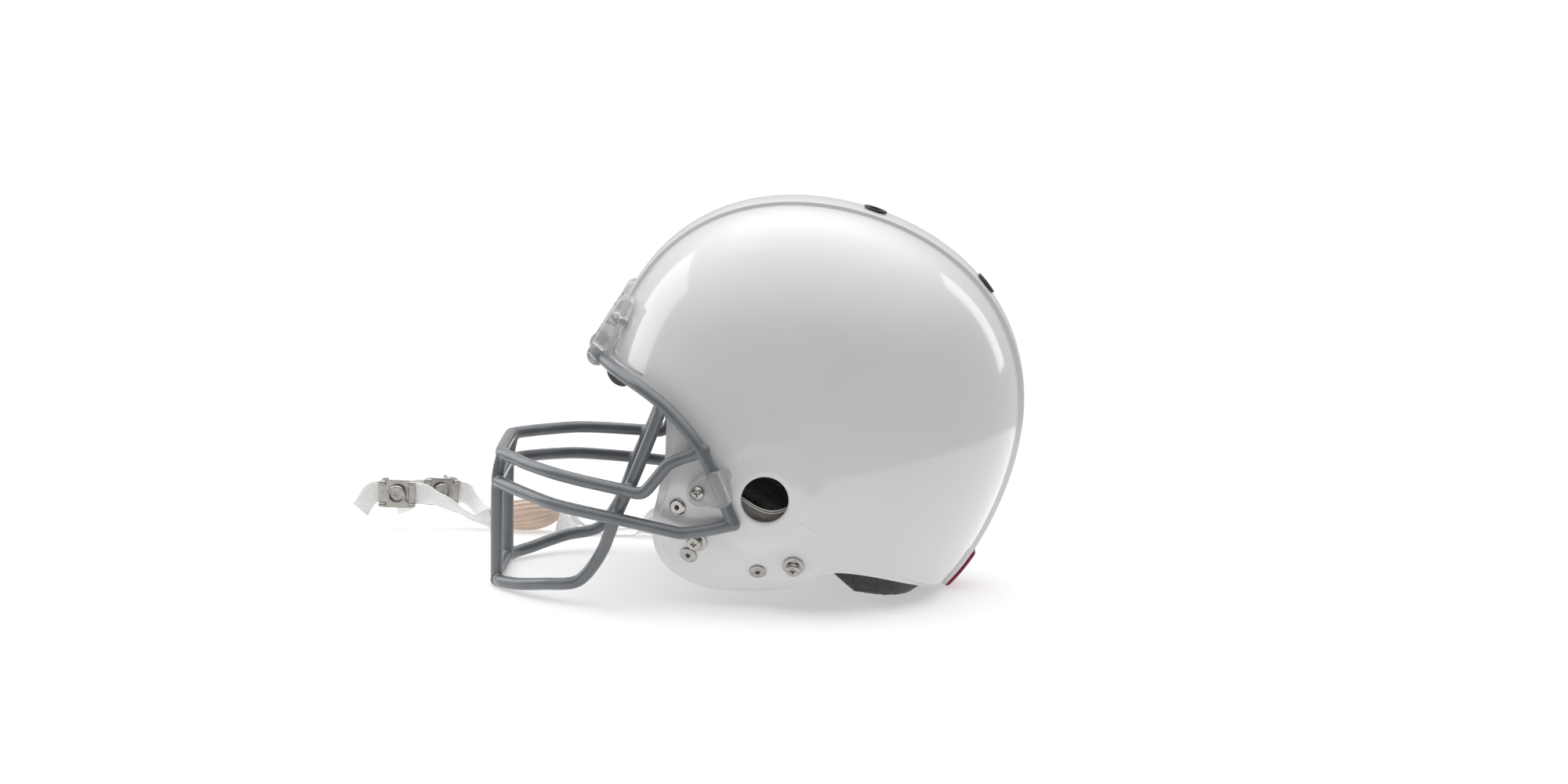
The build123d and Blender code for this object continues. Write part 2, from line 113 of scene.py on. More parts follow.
def grid_faces(rows, columns, wrap_rows=False, wrap_columns=False, start=0):
    """Quads of a grid of points numbered row by row."""
    faces = []
    for row in range(rows if wrap_rows else rows - 1):
        for column in range(columns if wrap_columns else columns - 1):
            next_row = (row + 1) % rows
            next_column = (column + 1) % columns
            faces.append((
                start + row * columns + column, start + row * columns + next_column,
                start + next_row * columns + next_column, start + next_row * columns + column,
            ))
    return faces


def rim_faces(rows, columns):
    """Quads that close the edge between two such grids, the second numbered after the first."""
    edge = [row * columns for row in range(rows)]
    edge += [(rows - 1) * columns + column for column in range(columns)]
    edge += [row * columns + columns - 1 for row in reversed(range(rows))]
    edge += [column for column in reversed(range(columns))]
    shift = rows * columns
    return [
        (first, following, following + shift, first + shift)
        for first, following in zip(edge, edge[1:] + edge[:1]) if first != following
    ]


def fix_normals(obj, merge=0.0):
    """Weld close points and turn every face outwards."""
    work = bmesh.new()
    work.from_mesh(obj.data)
    if merge:
        bmesh.ops.remove_doubles(work, verts=work.verts, dist=merge)
    bmesh.ops.recalc_face_normals(work, faces=work.faces)
    work.to_mesh(obj.data)
    work.free()
    return obj


def apply_modifiers(obj):
    """Replace an object's mesh with what its modifiers make of it."""
    graph = bpy.context.evaluated_depsgraph_get()
    mesh = bpy.data.meshes.new_from_object(obj.evaluated_get(graph))
    obj.modifiers.clear()
    obj.data = mesh
    return obj


def add_remesh(obj, voxel):
    """Remake the surface from voxels, their size in millimetres."""
    remesh = obj.modifiers.new("remesh", "REMESH")
    remesh.mode = "VOXEL"
    remesh.voxel_size = voxel * MM
    remesh.use_smooth_shade = True


def add_smooth(obj, steps):
    smooth = obj.modifiers.new("smooth", "SMOOTH")
    smooth.factor = 0.5
    smooth.iterations = steps


def set_material(obj, material):
    obj.data.materials.clear()
    obj.data.materials.append(material)


def smooth_curve(points, count):
    """Points evenly spaced along a smooth curve through the given ones."""
    points = np.asarray(points, float)
    padded = np.vstack([2 * points[0] - points[1], points, 2 * points[-1] - points[-2]])
    fine = []
    for p0, p1, p2, p3 in zip(padded[:-3], padded[1:-2], padded[2:-1], padded[3:]):
        for t in np.linspace(0, 1, 24, endpoint=False):
            fine.append(0.5 * (2 * p1 + (p2 - p0) * t + (2 * p0 - 5 * p1 + 4 * p2 - p3) * t**2
                               + (3 * p1 - p0 - 3 * p2 + p3) * t**3))
    fine.append(points[-1])
    return respaced(np.array(fine), count)


def respaced(points, count, weight=None):
    """The same polyline with evenly spaced points, or closer ones where the weight is larger."""
    steps = np.linalg.norm(np.diff(points, axis=0), axis=1)
    if weight is not None:
        steps = steps * (weight[1:] + weight[:-1]) / 2
    lengths = np.concatenate([[0], np.cumsum(steps)])
    wanted = np.linspace(0, lengths[-1], count)
    return np.stack([np.interp(wanted, lengths, points[:, axis]) for axis in range(points.shape[1])], 1)


def swept(name, path, section_of, material, closed_section=True):
    """A solid swept along a path. section_of(step, tangent) gives the section's points there."""
    points = []
    tangents = np.gradient(path, axis=0)
    tangents /= np.linalg.norm(tangents, axis=1, keepdims=True)
    for step, spot in enumerate(path):
        points.extend(spot + section_of(step, tangents[step]))
    sides = len(points) // len(path)
    faces = grid_faces(len(path), sides, wrap_columns=closed_section)
    faces.append(tuple(range(sides - 1, -1, -1)))
    faces.append(tuple(range(len(points) - sides, len(points))))
    return fix_normals(mesh_object(name, points, faces, material))


def tube(name, path, radius, material, sides=20):
    """A round bar along a path, with frames carried along it so that it doesn't twist."""
    across = [np.array([0.0, 0.0, 1.0])]
    tangents = np.gradient(path, axis=0)
    tangents /= np.linalg.norm(tangents, axis=1, keepdims=True)
    for tangent in tangents:
        side = across[-1] - tangent * np.dot(across[-1], tangent)
        across.append(side / np.linalg.norm(side))
    angles = np.linspace(0, 2 * pi, sides, endpoint=False)

    def section(step, tangent):
        side = across[step + 1]
        other = np.cross(tangent, side)
        return radius * (np.outer(np.cos(angles), side) + np.outer(np.sin(angles), other))

    return swept(name, path, section, material)


# ---- Materials ----
def new_material(name, color, roughness, **inputs):
    """A Principled material, with its constant values set on the shader's own sockets."""
    material = bpy.data.materials.new(name)
    material.use_nodes = True
    shader = material.node_tree.nodes["Principled BSDF"]
    shader.inputs["Base Color"].default_value = (*color, 1)
    shader.inputs["Roughness"].default_value = roughness
    for key, value in inputs.items():
        shader.inputs[key.replace("_", " ")].default_value = value
    return material


def node(material, kind, **values):
    """A new node with some of its input sockets or properties set."""
    made = material.node_tree.nodes.new(kind)
    for key, value in values.items():
        if key in made.inputs:
            made.inputs[key].default_value = value
        else:
            setattr(made, key, value)
    return made


def join(material, output, target):
    material.node_tree.links.new(output, target)


def noise(material, scale, detail=3.0, roughness=0.5, stretch=(1, 1, 1)):
    """A noise over the object's own coordinates, scale in features per metre."""
    place = node(material, "ShaderNodeTexCoord")
    mapping = node(material, "ShaderNodeMapping")
    mapping.inputs["Scale"].default_value = stretch
    made = node(material, "ShaderNodeTexNoise", Scale=scale, Detail=detail, Roughness=roughness)
    join(material, place.outputs["Object"], mapping.inputs["Vector"])
    join(material, mapping.outputs["Vector"], made.inputs["Vector"])
    return made.outputs["Fac"]


def ramp(material, source, low, high, from_low=0.0, from_high=1.0):
    """Map a value to a number between low and high."""
    made = node(material, "ShaderNodeMapRange")
    for key, value in (("From Min", from_low), ("From Max", from_high), ("To Min", low), ("To Max", high)):
        made.inputs[key].default_value = value
    join(material, source, made.inputs["Value"])
    return made.outputs["Result"]


def color_ramp(material, source, first, second, low=0.35, high=0.65):
    """Blend two colours over a value."""
    made = node(material, "ShaderNodeValToRGB")
    made.color_ramp.elements[0].position = low
    made.color_ramp.elements[0].color = (*first, 1)
    made.color_ramp.elements[1].position = high
    made.color_ramp.elements[1].color = (*second, 1)
    join(material, source, made.inputs["Fac"])
    return made.outputs["Color"]


def bump(material, source, strength, distance, after=None):
    """Add a bump, on top of an earlier one if it is given."""
    made = node(material, "ShaderNodeBump", Strength=strength, Distance=distance)
    join(material, source, made.inputs["Height"])
    if after is not None:
        join(material, after, made.inputs["Normal"])
    return made.outputs["Normal"]


def principled(material, **links):
    """Link outputs to the Principled shader's sockets."""
    shader = material.node_tree.nodes["Principled BSDF"]
    for key, output in links.items():
        join(material, output, shader.inputs[key.replace("_", " ")])


def shell_material():
    """Glossy white moulded plastic with faint haze and fine orange peel."""
    made = new_material(
        "shell_gloss_white", (0.78, 0.78, 0.785), 0.16, Coat_Weight=0.7, Coat_Roughness=0.03
    )
    haze = noise(made, 26, 5, 0.6)
    principled(
        made,
        Base_Color=color_ramp(made, noise(made, 9, 4), (0.765, 0.765, 0.772), (0.795, 0.795, 0.8)),
        Roughness=ramp(made, haze, 0.12, 0.24),
        Normal=bump(made, noise(made, 420, 2), 0.05, 0.0004),
    )
    return made


def vinyl_material():
    """Grey dipped vinyl with soft sheen and small pits."""
    made = new_material("mask_grey_vinyl", (0.15, 0.162, 0.175), 0.3, Coat_Weight=0.6, Coat_Roughness=0.1)
    pits = noise(made, 1500, 3, 0.6)
    ripple = bump(made, noise(made, 130, 3), 0.16, 0.0007)
    principled(
        made,
        Base_Color=color_ramp(made, noise(made, 45, 4), (0.135, 0.146, 0.158), (0.165, 0.178, 0.192)),
        Roughness=ramp(made, noise(made, 90, 4), 0.24, 0.4),
        Normal=bump(made, pits, 0.12, 0.0002, after=ripple),
    )
    return made


def clear_material():
    """Clear moulded plastic with flow marks."""
    made = new_material(
        "clip_clear", (0.97, 0.98, 0.985), 0.1, Transmission_Weight=0.8, IOR=1.4, Coat_Weight=0.6
    )
    principled(
        made,
        Roughness=ramp(made, noise(made, 160, 3), 0.08, 0.2),
        Normal=bump(made, noise(made, 260, 3, stretch=(1, 1, 0.4)), 0.12, 0.0006),
    )
    return made


def metal_material(name, color, roughness, grain=900):
    """Plated steel with fine scratches and worn patches."""
    made = new_material(name, color, roughness, Metallic=1.0)
    worn = tuple(channel * 0.72 for channel in color)
    scratches = noise(made, grain, 4, 0.7, stretch=(1, 0.15, 1))
    principled(
        made,
        Base_Color=color_ramp(made, noise(made, 240, 5, 0.65), worn, color, 0.3, 0.6),
        Roughness=ramp(made, noise(made, 500, 4), roughness * 0.75, roughness * 1.6),
        Normal=bump(made, scratches, 0.2, 0.0002),
    )
    return made


def fabric_material(name, dark, light, scale=700, strength=0.35):
    """Knitted or coated cloth over foam."""
    made = new_material(name, dark, 0.75, Sheen_Weight=0.25, Sheen_Roughness=0.4)
    weave = noise(made, scale, 2)
    folds = bump(made, noise(made, 40, 4), 0.3, 0.002)
    principled(
        made,
        Base_Color=color_ramp(made, noise(made, scale * 0.6, 3), dark, light),
        Roughness=ramp(made, weave, 0.6, 0.9),
        Normal=bump(made, weave, strength, 0.0004, after=folds),
    )
    return made


def webbing_material():
    """White woven tape: slanting ribs along it, worked out from the ribbon's own UV map."""
    made = new_material("strap_webbing", (0.88, 0.88, 0.865), 0.7, Sheen_Weight=0.3, Sheen_Roughness=0.4)
    place = node(made, "ShaderNodeUVMap", uv_map="weave")
    ribs = node(made, "ShaderNodeTexWave", Scale=0.42, Distortion=0.3, wave_type="BANDS")
    ribs.bands_direction = "DIAGONAL"
    join(made, place.outputs["UV"], ribs.inputs["Vector"])
    cross = node(made, "ShaderNodeTexWave", Scale=0.2, Distortion=0.3, wave_type="BANDS")
    cross.bands_direction = "Y"
    join(made, place.outputs["UV"], cross.inputs["Vector"])
    first = bump(made, ribs.outputs["Fac"], 0.4, 0.0004)
    principled(
        made,
        Base_Color=color_ramp(made, noise(made, 60, 4), (0.88, 0.88, 0.87), (0.95, 0.95, 0.94)),
        Roughness=ramp(made, ribs.outputs["Fac"], 0.62, 0.82),
        Normal=bump(made, cross.outputs["Fac"], 0.25, 0.0003, after=first),
    )
    return made


def rubber_material(name, color, roughness=0.55):
    made = new_material(name, color, roughness)
    lighter = tuple(channel * (1.12 if channel > 0.3 else 1.5) + 0.01 for channel in color)
    principled(
        made,
        Base_Color=color_ramp(made, noise(made, 120, 4), color, lighter),
        Roughness=ramp(made, noise(made, 300, 3), roughness * 0.8, min(1, roughness * 1.3)),
        Normal=bump(made, noise(made, 900, 2), 0.2, 0.0003),
    )
    return made


SHELL_WHITE = shell_material()
VINYL = vinyl_material()
CLEAR = clear_material()
NICKEL = metal_material("hardware_nickel", (0.50, 0.48, 0.45), 0.14)
BUCKLE_STEEL = metal_material("buckle_steel", (0.40, 0.385, 0.36), 0.2)
BLACK_FABRIC = fabric_material("liner_black_fabric", (0.018, 0.018, 0.02), (0.045, 0.045, 0.048))
JAW_VINYL = fabric_material("jaw_pad_vinyl", (0.02, 0.02, 0.022), (0.05, 0.05, 0.05), 500, 0.2)
TAB_FABRIC = fabric_material("hook_and_loop", (0.03, 0.03, 0.03), (0.08, 0.08, 0.08), 1200, 0.6)
WEBBING_MATERIAL = webbing_material()
CUP_TAN = rubber_material("chin_cup_tan", (0.64, 0.49, 0.39), 0.5)
CUP_FOAM = fabric_material("chin_cup_foam", (0.60, 0.46, 0.37), (0.70, 0.56, 0.46), 500, 0.3)
# Black rubber of the vent grommets; on the jaw rivets the same black is painted shade of their holes.
BLACK_RUBBER_AND_HOLE_SHADE = rubber_material("black_rubber_and_hole_shade", (0.016, 0.016, 0.017))
GREY_RUBBER = rubber_material("nose_bumper_grey", (0.11, 0.11, 0.115), 0.35)
EAR_VINYL = fabric_material("ear_lining_vinyl", (0.19, 0.176, 0.16), (0.25, 0.23, 0.21), 500, 0.2)
PIPING = rubber_material("ear_lining_piping", (0.62, 0.61, 0.58), 0.4)
MAROON = rubber_material("rear_bumper_maroon", (0.26, 0.018, 0.05), 0.3)


# ---- Shell ----
BROW_FAR = (-200.0, 114.6)
BROW_CORNER = (-76.0, 62.0)
EDGE_POINTS = [
    (-68, 50), (-68.1, 34), (-69, 18), (-73.6, -3), (-77.5, -24), (-74.3, -45), (-62, -60), (-38, -70.5),
    (-10, -73), (8, -70.4), (25, -63.5), (36, -56), (47, -52.5), (64, -54.4), (85, -60.5),
    (107, -69.8), (128, -81.5),
]
RIM = 1.7  # how far the rounded rim stands out from the outer and inner surfaces' ends
BOSS_HEIGHT = 2.6
BOSS_RADII = (27, 40)  # the ear boss is flat inside the first and gone outside the second
LIP_DEPTH = 0.9
LIP_BAND = (4.2, 6.2)  # distances from the edge where the lip's groove starts and ends
LIP_DEPTHS = (30, 60)  # the lip fades in between these distances from the middle plane
RAY_TURN = radians(26)


def outline_points():
    """The shell's edge seen from the side, from the brow round the face and the jaw to the back."""
    start, stop = np.array(BROW_FAR), np.array(BROW_CORNER)
    brow = [start + (stop - start) * t for t in np.linspace(0.55, 1, 12)]
    corner = [(-72.4, 59.9), (-69.4, 56.2)]
    return smooth_curve([*brow, *corner, *EDGE_POINTS], 900)


def inward(points, distance):
    """An XZ outline moved to its left side by a distance."""
    along = np.gradient(points, axis=0)
    along /= np.linalg.norm(along, axis=1, keepdims=True)
    return points + distance * np.stack([-along[:, 1], along[:, 0]], 1)


def shell_boundary(across, around):
    """Points round the half shell: over the middle profile, then back along its edge."""
    edge = inward(outline_points(), RIM)
    inside = np.hypot(*edge.T) < profile_radius(np.arctan2(edge[:, 1], edge[:, 0]))
    first, last = np.argmax(inside), len(inside) - 1 - np.argmax(inside[::-1])
    brow_angle = atan2(edge[first][1], edge[first][0])
    back_angle = atan2(edge[last][1], edge[last][0])
    angles = np.linspace(back_angle, brow_angle, across)
    over = np.stack([profile_radius(angles) * np.cos(angles), profile_radius(angles) * np.sin(angles)], 1)
    cut = edge[first:last + 1].copy()
    cut[0], cut[-1] = over[-1], over[0]
    # The brow is short seen from the side but long in depth, so points crowd towards its front
    depth = side_depth(*cut.T)
    path = respaced(np.column_stack([cut, depth]), around)
    return over, path[:, :2]


def ray(start, bend, stop, on_profile, count):
    """Evenly spaced surface points from the ear hole to the boundary, as (x, depth, z)."""
    t = np.linspace(0, 1, 700)[:, None]
    if on_profile:
        t = 1 - (1 - t) ** 3
    flat = (1 - t) ** 2 * start + 2 * t * (1 - t) * bend + t**2 * stop
    depth = side_depth(flat[:, 0], flat[:, 1])
    if on_profile:
        depth[-1] = 0
    weight = 1 + RIDGE_CROWDING * np.exp(-(((depth - RIDGE_HALF_WIDTH) / 1.8) ** 2))
    return respaced(np.column_stack([flat[:, 0], depth, flat[:, 1]]), count, weight)


def shell_grid(across=170, around=260, count=92):
    """Surface points of the left half of the shell, ray by ray from the ear hole outwards."""
    over, cut = shell_boundary(across, around)
    boundary = np.vstack([over, cut[1:-1]])
    angle = np.unwrap(np.arctan2(boundary[:, 1], boundary[:, 0]))
    start_angle = angle.copy()
    start_angle[:across] -= RAY_TURN * smooth_step(angle[:across], radians(75), angle[across - 1])
    rest = angle[across:]
    start_angle[across:] -= RAY_TURN * (1 - smooth_step(np.arange(len(rest)), 0, 0.34 * len(rest)))
    rows = []
    for index, (stop, turn) in enumerate(zip(boundary, start_angle)):
        start = (EAR_HOLE_R + 0.6) * np.array([cos(turn), sin(turn)])
        lift = np.hypot(*stop) * 0.5
        bend = start + lift * np.array([cos(turn), sin(turn)])
        rows.append(ray(start, bend, stop, index < across, count))
    grid = np.array(rows)
    grid[..., 1] *= -1
    return grid, across


def shell_relief(base, to_edge):
    """How far details stand off the skull form: ridge, ear boss and the rolled edge."""
    depth = np.abs(base[..., 1])
    ridge = RIDGE_HEIGHT * (1 - smooth_step(depth, RIDGE_HALF_WIDTH - 0.9, RIDGE_HALF_WIDTH + 0.5))
    from_ear = np.hypot(base[..., 0], base[..., 2])
    boss = BOSS_HEIGHT * (1 - smooth_step(from_ear, *BOSS_RADII))
    edge = -LIP_DEPTH * (1 - smooth_step(to_edge, *LIP_BAND)) * smooth_step(depth, *LIP_DEPTHS)
    return ridge + boss + edge


def cut_vents(shell):
    """Cut the two vent holes through the ridge."""
    cutters = []
    for angle in VENT_ANGLES:
        out = Vector((cos(radians(angle)), 0, sin(radians(angle))))
        reach = float(profile_radius(radians(angle)))
        bpy.ops.mesh.primitive_cylinder_add(
            vertices=64, radius=VENT_R * MM, depth=30 * MM, location=out * reach * MM,
            rotation=(0, radians(90 - angle), 0),
        )
        cutters.append(bpy.context.active_object)
    for cutter in cutters:
        cut = shell.modifiers.new("vent", "BOOLEAN")
        cut.operation = "DIFFERENCE"
        cut.solver = "EXACT"
        cut.object = cutter
    bpy.context.view_layer.update()
    apply_modifiers(shell)
    for cutter in cutters:
        bpy.data.objects.remove(cutter)


def make_shell():
    grid, across = shell_grid()
    rows, count = grid.shape[:2]
    normal = form_normal(grid)
    steps = np.linalg.norm(np.diff(grid, axis=1), axis=2)
    to_edge = np.zeros((rows, count))
    to_edge[:, :-1] = np.cumsum(steps[:, ::-1], axis=1)[:, ::-1]
    to_edge[:across] = 99
    outer = grid + normal * shell_relief(grid, to_edge)[..., None]
    inner = grid - normal * SHELL_WALL
    # Rounded rims: the ear hole all round, and the cut edge where the shell isn't joined to its other half
    def rim(column, away):
        middle = (outer[:, column] + inner[:, column]) / 2
        half = (outer[:, column] - inner[:, column]) / 2
        around_rim = []
        for turn in np.linspace(0, pi, 9)[1:-1]:
            lift = np.sign(cos(turn)) * abs(cos(turn)) ** 0.75
            out = sin(turn) ** 0.75
            around_rim.append(middle + half * lift + away * out * RIM)
        return np.stack(around_rim, 1)

    ear_away = grid[:, 0] - grid[:, 1]
    ear_away /= np.linalg.norm(ear_away, axis=1, keepdims=True)
    edge_away = grid[:, -1] - grid[:, -2]
    edge_away /= np.linalg.norm(edge_away, axis=1, keepdims=True)
    along = np.roll(grid[:, -1], -1, 0) - np.roll(grid[:, -1], 1, 0)
    edge_out = np.cross(along, normal[:, -1])
    edge_out /= np.linalg.norm(edge_out, axis=1, keepdims=True)
    edge_out *= np.sign((edge_out * edge_away).sum(1))[:, None]
    for corner in (across - 1, 0):
        edge_out[corner] = edge_out[corner + (1 if corner else -1)] * np.array([1, 0, 1])
        edge_out[corner] /= np.linalg.norm(edge_out[corner])
    points, faces = [], []

    def add_block(block, wrap_rows):
        start = len(points)
        points.extend(block.reshape(-1, 3))
        faces.extend(grid_faces(block.shape[0], block.shape[1], wrap_rows=wrap_rows, start=start))

    def closed_rim(column, rims):
        return np.concatenate([outer[:, column:column + 1], rims, inner[:, column:column + 1]], 1)

    last = count - 1
    edge_block = closed_rim(last, rim(last, edge_out))
    cut_rows = np.concatenate([edge_block[across - 1:], edge_block[:1]])
    add_block(outer, True)
    add_block(inner, True)
    add_block(closed_rim(0, rim(0, ear_away)), True)
    add_block(cut_rows, False)
    points = np.array(points)
    middle = np.abs(points[:, 1]) < 0.02
    points[middle, 1] = 0
    mirrored = points * np.array([1, -1, 1])
    shift = len(points)
    faces += [tuple(shift + i for i in reversed(face)) for face in faces]
    shell = mesh_object("shell_body", np.vstack([points, mirrored]), faces, SHELL_WHITE)
    fix_normals(shell, merge=0.01 * MM)
    cut_vents(shell)
    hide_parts("shell")
    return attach(shell, HELMET)


# ---- Pieces copied from the CAD solids, with their edges softened ----
def softened(node_name, piece_name, material, voxel, steps, body=HELMET):
    """A copy of a CAD solid, remeshed finely (voxel in mm) and smoothed so that its edges are round."""
    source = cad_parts[node_name]
    piece = link(bpy.data.objects.new(piece_name, source.data.copy()))
    add_remesh(piece, voxel)
    add_smooth(piece, steps)
    apply_modifiers(piece)
    set_material(piece, material)
    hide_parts(node_name)
    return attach(piece, body)


def slotted(piece):
    return piece


def make_hardware():
    for side in ("left", "right"):
        slotted(softened(f"{side}_top_clip", f"{side}_clear_top_clip", CLEAR, 0.6, 4))
        slotted(softened(f"{side}_side_clip", f"{side}_clear_side_clip", CLEAR, 0.5, 4))
        for kind in ("clip_screws", "clip_nuts", "strap_studs", "jaw_rivets"):
            slotted(softened(f"{side}_{kind}", f"{side}_{kind}_metal", NICKEL, 0.24, 1))
    slotted(softened("crown_vent_grommet", "crown_grommet", BLACK_RUBBER_AND_HOLE_SHADE, 0.3, 3))
    slotted(softened("rear_vent_grommet", "rear_grommet", BLACK_RUBBER_AND_HOLE_SHADE, 0.3, 3))
    slotted(softened("rear_bumper", "rear_bumper_strip", MAROON, 0.4, 3))
    slotted(softened("nose_bumper", "nose_bumper_rubber", GREY_RUBBER, 0.5, 6))
    slotted(softened("liner_tabs", "liner_hook_discs", TAB_FABRIC, 0.8, 2))
    for name in STRAP_NAMES:
        slotted(softened(f"{name}_buckle", f"{name}_buckle_plate", BUCKLE_STEEL, 0.26, 2))
        slotted(softened(f"{name}_snap_socket", f"{name}_snap", BUCKLE_STEEL, 0.2, 1))
        slotted(softened(f"{name}_lever_pin", f"{name}_pin", BUCKLE_STEEL, 0.2, 1))
        lever = f"{name}_cam_lever"
        slotted(softened(lever, f"{name}_lever", BUCKLE_STEEL, 0.24, 1, body=lever))


JAW_RIVETS = ((-58.0, -8.0), (-50.6, -41.4), (-4.4, -51.5))
RIVET_SHADE_R = 1.5


def make_rivet_hole_shade():
    """A black disc on the middle of each jaw pad rivet: painted shade where the rivet's hole lies in shadow.
    """
    for side, name in ((-1, "left"), (1, "right")):
        heads = mesh_points(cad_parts[f"{name}_jaw_rivets"].data)
        points, faces = [], []
        for x, z in JAW_RIVETS:
            spot, out = surface_frame(x, z)
            spot, out = spot * (1, -side, 1), out * (1, -side, 1)
            near = heads[np.linalg.norm(heads - spot, axis=1) < 12]
            top = float(((near - spot) @ out).max())
            first = np.cross(out, (0, 0, 1))
            first /= np.linalg.norm(first)
            second = np.cross(out, first)
            turn = np.linspace(0, 2 * pi, 32, endpoint=False)
            ring = np.outer(np.cos(turn), first) + np.outer(np.sin(turn), second)
            levels = ((RIVET_SHADE_R, -1.0), (RIVET_SHADE_R, 0.03), (RIVET_SHADE_R - 0.1, 0.08), (0.05, 0.08))
            start = len(points)
            for radius, height in levels:
                points.extend(spot + out * (top + height) + ring * radius)
            faces += grid_faces(len(levels), len(turn), wrap_columns=True, start=start)
            faces.append(tuple(range(start + len(turn) - 1, start - 1, -1)))
            faces.append(tuple(range(len(points) - len(turn), len(points))))
        # The discs are painted shade of the rivets' holes; no hole is cut into the rivet heads.
        shade_discs = fix_normals(mesh_object(f"{name}_rivet_hole_shade", points, faces, BLACK_RUBBER_AND_HOLE_SHADE))
        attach(shade_discs, HELMET)


EAR_LINING_TOP = [(-19, 2.6), (-13, -1.4), (-5, -6.2), (3, -8.6), (11, -7.6), (19, -3.6)]
EAR_LINING_INSET = SHELL_WALL + 2.4
EAR_LINING_R = 20.0
EAR_LINING_WALL = 1.6
PIPING_R = 0.42
PIPING_GAP = 1.7


def make_ear_linings():
    """The top edge of each jaw pad's cover, seen through the ear hole, with its two lines of piping."""
    top = smooth_curve([(x, 0, z) for x, z in EAR_LINING_TOP], 60)[:, ::2]
    for side, name in ((-1, "left"), (1, "right")):
        layers = []
        for inset in (EAR_LINING_INSET, EAR_LINING_INSET + EAR_LINING_WALL):
            rows = []
            for x, z in top:
                low = -np.sqrt(max(EAR_LINING_R**2 - x * x, (z - 1) ** 2))
                rows.append([(x, h) for h in np.linspace(z, min(low, z - 1), 16)])
            flat = np.array(rows)
            depth = side_depth(flat[..., 0], flat[..., 1], inset)
            layers.append(np.stack([flat[..., 0], side * depth, flat[..., 1]], -1))
        rows, columns = layers[0].shape[:2]
        points = np.vstack([layer.reshape(-1, 3) for layer in layers])
        faces = grid_faces(rows, columns) + grid_faces(rows, columns, start=rows * columns)
        faces += rim_faces(rows, columns)
        lining = fix_normals(mesh_object(f"{name}_ear_lining", points, faces, EAR_VINYL))
        for number in (0, 1):
            line = layers[0][:, 0] - np.array([0, 0, PIPING_GAP]) * number
            piping = tube(f"{name}_ear_piping_{number}", line, PIPING_R, PIPING, sides=10)
            piping.parent = lining
        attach(lining, f"{name}_jaw_pad")


# ---- Mask: coated wires with webbed welds, as one casting ----
UPPER_BAR = [
    (-183.6, 27, 11.8), (-182, 35.4, 11.6), (-177.4, 43, 11.2), (-171, 51, 10.7), (-161.6, 63.4, 9.6),
    (-142.7, 82, 8), (-123.7, 93.5, 5.9),
    (-104.8, 101, 3.7), (-92, 105.6, 2.2), (-84.6, 108, 1.2), (-79, 109.4, 3.6), (-69.2, 111.4, 16),
    (-64, 112.4, 22.2), (-55, 113.6, 26.7), (-47.4, 115, 29.7), (-40.6, 116.4, 32.7),
]
LOWER_BAR = [
    (-186, 30, -7.6), (-183.8, 39.9, -7.6), (-176.2, 51.6, -8), (-161.6, 69.1, -9.6), (-142.7, 87.3, -11.9),
    (-123.7, 95.9, -14.3), (-104.8, 101.8, -16.7), (-85.9, 107, -19.4), (-65, 112.5, -22.4),
    (-54.5, 115, -23.6), (-38.9, 118, -20.8), (-20, 119.8, -16),
]
CHIN_LOOP = [
    (-186, 34, -76.7), (-184.6, 38, -76.6), (-180.5, 46, -75.9), (-170.9, 56.5, -74.6), (-161.6, 65.4, -72.6),
    (-147.4, 75.8, -69.6), (-134.5, 80.9, -68), (-126.5, 82, -65.8), (-120.5, 83.6, -60.6), (-114, 86, -51.5),
    (-108.4, 89.5, -41), (-104.5, 93, -30.5), (-100.2, 96, -18.5), (-94.9, 98, -5.4), (-89.7, 99, 5.6),
    (-84, 100, 20), (-76.8, 101, 38.9), (-69.6, 101.9, 59),
]
BROW_WIRE = [
    (-121.4, 0, 84.9), (-119.6, 22, 84.2), (-114.8, 43, 81.8), (-106.6, 60.5, 78.2), (-97.6, 74.5, 74.6),
    (-86.4, 88.4, 70), (-76.6, 97.4, 65), (-66.6, 104.4, 58.6), (-55.6, 110.6, 48.6), (-47.6, 114.6, 39.8),
    (-41, 117.2, 30.6), (-35.2, 118.6, 19), (-28.6, 119.6, 3.4), (-20, 119.8, -16),
]
FRONT_POST = [
    (-182, 36, 12), (-184.6, 36.4, 1), (-185.6, 36.8, -8.5),
    (-186, 37, -30), (-186, 36.4, -55), (-186, 36, -76.7),
]
MASK_WIRES = ("brow_wire", "upper_bar", "lower_bar", "chin_loop", "left_front_post", "right_front_post")
MASK_VOXEL = 0.85


def whole_bar(half):
    """A bar's points from one side to the other, from the half on the wearer's right."""
    start = half if half[0][1] else half[1:]
    left = [(x, -y, z) for x, y, z in reversed(half)]
    return left + list(start)


def make_mask():
    work = []
    paths = [smooth_curve(whole_bar(half), 420) for half in (UPPER_BAR, LOWER_BAR, CHIN_LOOP, BROW_WIRE)]
    paths += [smooth_curve([(x, side * y, z) for x, y, z in FRONT_POST], 80) for side in (-1, 1)]
    for number, path in enumerate(paths):
        work.append(tube(f"wire_{number}", path, BAR_R, VINYL))
    for side in (-1, 1):
        for place in (UPPER_BAR[-1], LOWER_BAR[-1], CHIN_LOOP[-1]):
            bpy.ops.mesh.primitive_uv_sphere_add(
                segments=24, ring_count=16, radius=BAR_R * 1.03 * MM,
                location=(place[0] * MM, side * place[1] * MM, place[2] * MM),
            )
            ball = bpy.context.active_object
            ball.data.materials.append(VINYL)
            work.append(ball)
    mask = joined(work, "face_mask")
    add_remesh(mask, MASK_VOXEL)
    add_smooth(mask, 7)
    apply_modifiers(mask)
    set_material(mask, VINYL)
    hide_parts(*MASK_WIRES)
    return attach(mask, HELMET)


